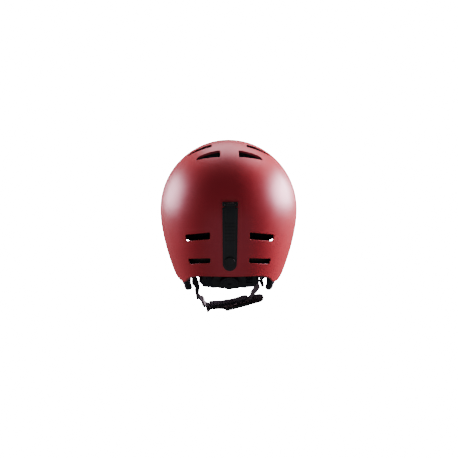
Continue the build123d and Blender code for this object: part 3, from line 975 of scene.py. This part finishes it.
@dataclass
class LoopFrame:
    """The plane that the chin strap hangs in, from its two pivots."""

    left: Vector = field(default_factory=lambda: Vector((-0.050, 0.010, -0.0325)))
    right: Vector = field(default_factory=lambda: Vector((0.053, 0.010, -0.0125)))
    down: Vector = field(default_factory=lambda: Vector((0.150, 0.623, -0.768)))

    @property
    def swing(self) -> Vector:
        """The line through both pivots."""
        return (self.right - self.left).normalized()

    @property
    def normal(self) -> Vector:
        """The direction across the strap's width."""
        return self.swing.cross(self.down).normalized()

    def at(self, along: float, below: float) -> Vector:
        """Returns the point at these distances in millimetres along the swing line and below it."""
        fall = self.normal.cross(self.swing)
        middle = (self.left + self.right) / 2.0
        return middle + (self.swing * along + fall * below) / MM_PER_M


@dataclass
class StrapSet:
    """All webbing: four legs, the two lower runs and the free end."""

    finishes: Finishes
    loop: LoopFrame = field(default_factory=LoopFrame)
    dome: Dome = field(default_factory=Dome)
    front_exit: Place = (0.082, 0.050, 0.062)
    front_anchor: Place = (0.0845, 0.052, 0.078)
    rear_exit: Place = (0.054, -0.061, -0.002)
    rear_anchor: Place = (0.058, -0.0635, 0.010)
    hub_radius: float = 0.0094
    twist: float = 22.0

    def leg(self, side: Side, end: str, leave_at: Place, hold_at: Place) -> None:
        """Makes one leg of the strap from its divider up into the foam.

        Args:
            side: which side of the head.
            end: front or rear.
            leave_at: where it passes the rim, for the right side.
            hold_at: where it is anchored, for the right side.
        """
        hub = self.loop.left if side is Side.LEFT else self.loop.right
        leave = Vector((leave_at[0] * side.value, leave_at[1], leave_at[2]))
        hold = Vector((hold_at[0] * side.value, hold_at[1], hold_at[2]))
        swing = self.loop.swing
        out = leave - hub
        radial = (out - swing * out.dot(swing)).normalized()
        start = hub + radial * self.hub_radius
        half_width, half_length = self.dome.half_width, self.dome.front
        bulge = Vector((leave.x / half_width ** 2, leave.y / half_length ** 2, 0.0)).normalized()
        run, rise = (leave - start).normalized(), (hold - leave).normalized()
        across = bulge.cross(run + rise).normalized()
        first = swing.cross(radial).normalized()
        if first.dot(across) < 0:
            first.negate()
        turned = Matrix.Rotation(math.radians(-self.twist * side.value), 3, run) @ across
        half = start.lerp(leave, 0.5)
        stations = [
            (start, first),
            (start.lerp(leave, 0.2), first.lerp(turned, 0.4)),
            (half, turned),
            (start.lerp(leave, 0.8), turned.lerp(across, 0.5)),
            (leave, across),
            (hold, across),
        ]
        made = Strap(f"webbing_leg_{end}_{side.word}", stations).build(self.finishes.webbing)
        mount(made, "helmet", (f"strap_leg_{end}_{side.word}",))

    def lower_runs(self) -> None:
        """Makes the left run with its free end, and the right run up to its divider."""
        loop, wide, webbing = self.loop, self.loop.normal, self.finishes.webbing
        left = [
            (-50.2, 5.5),
            (-46.5, 14.8),
            (-43.2, 23.2),
            (-41.8, 25.8),
            (-38.4, 29.6),
            (-33.0, 31.5),
            (-22.0, 33.7),
            (-14.0, 36.3),
            (-8.0, 36.0),
        ]
        stations = [(loop.at(*spot), wide) for spot in left]
        made = Strap("webbing_run_left", stations, steps=5).build(webbing)
        mount(made, "chin_strap", ("webbing_left",))
        right = [(27.9, 32.4), (30.2, 31.2), (31.6, 28.8), (33.0, 23.6), (39.6, 15.2), (47.6, 5.4)]
        stations = [(loop.at(*spot), wide) for spot in right]
        made = Strap("webbing_run_right", stations, steps=6).build(webbing)
        mount(made, "buckle_tongue", ("webbing_right",))
        twist = (loop.swing * 0.75 + wide * 0.66).normalized()
        tail = [
            (loop.at(-41.6, 26.6), wide),
            (loop.at(-42.2, 29.8), wide),
            (loop.at(-39.6, 34.4), wide.lerp(twist, 0.45)),
            (loop.at(-36.5, 39.5), twist),
        ]
        made = Strap("webbing_free_end", tail, width=0.014, steps=8).build(webbing)
        mount(made, "chin_strap", ("strap_tail",))

    def build(self) -> None:
        """Makes every strap."""
        for side in Side:
            self.leg(side, "front", self.front_exit, self.front_anchor)
            self.leg(side, "rear", self.rear_exit, self.rear_anchor)
        self.lower_runs()


@dataclass
class FitBands:
    """The two flexible bands that the racks pull on."""

    finishes: Finishes
    start: Vector = field(default_factory=lambda: Vector((0.0, -0.0689, -0.0058)))
    slope: float = 26.0
    width: float = 0.0116
    thick: float = 0.0012
    path: Sequence[tuple[float, float]] = (
        (41.3, -68.9),
        (41.9, -62.5),
        (46.0, -55.0),
        (51.3, -48.5),
        (57.0, -40.0),
        (65.0, -22.0),
        (69.8, -2.0),
        (71.6, 12.0),
        (71.9, 19.0),
    )

    def build(self) -> None:
        """Makes both bands, each running between its rack and the helmet; neither is put on a body."""
        slope = math.radians(self.slope)
        wide = Vector((0.0, -math.sin(slope), math.cos(slope)))
        for side in Side:
            stations = []
            for x, y in self.path:
                rise = (y / MM_PER_M - self.start.y) * math.tan(slope)
                centre = Vector((side.value * x / MM_PER_M, y / MM_PER_M, self.start.z + rise))
                stations.append((centre, wide))
            band = Strap(f"fit_band_{side.word}", stations, self.width, self.thick, steps=6)
            made = band.build(self.finishes.plastic)
            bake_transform(made)
            mount(made, None, (f"band_{side.word}",))


def main() -> None:
    """Builds the scene."""
    logging.basicConfig(level=logging.INFO, format="%(message)s")
    Studio().build()
    finishes = Finishes()
    HardParts(finishes).build()
    Padding(finishes).build()
    StrapSet(finishes).build()
    FitBands(finishes).build()


if __name__ == "__main__":
    main()
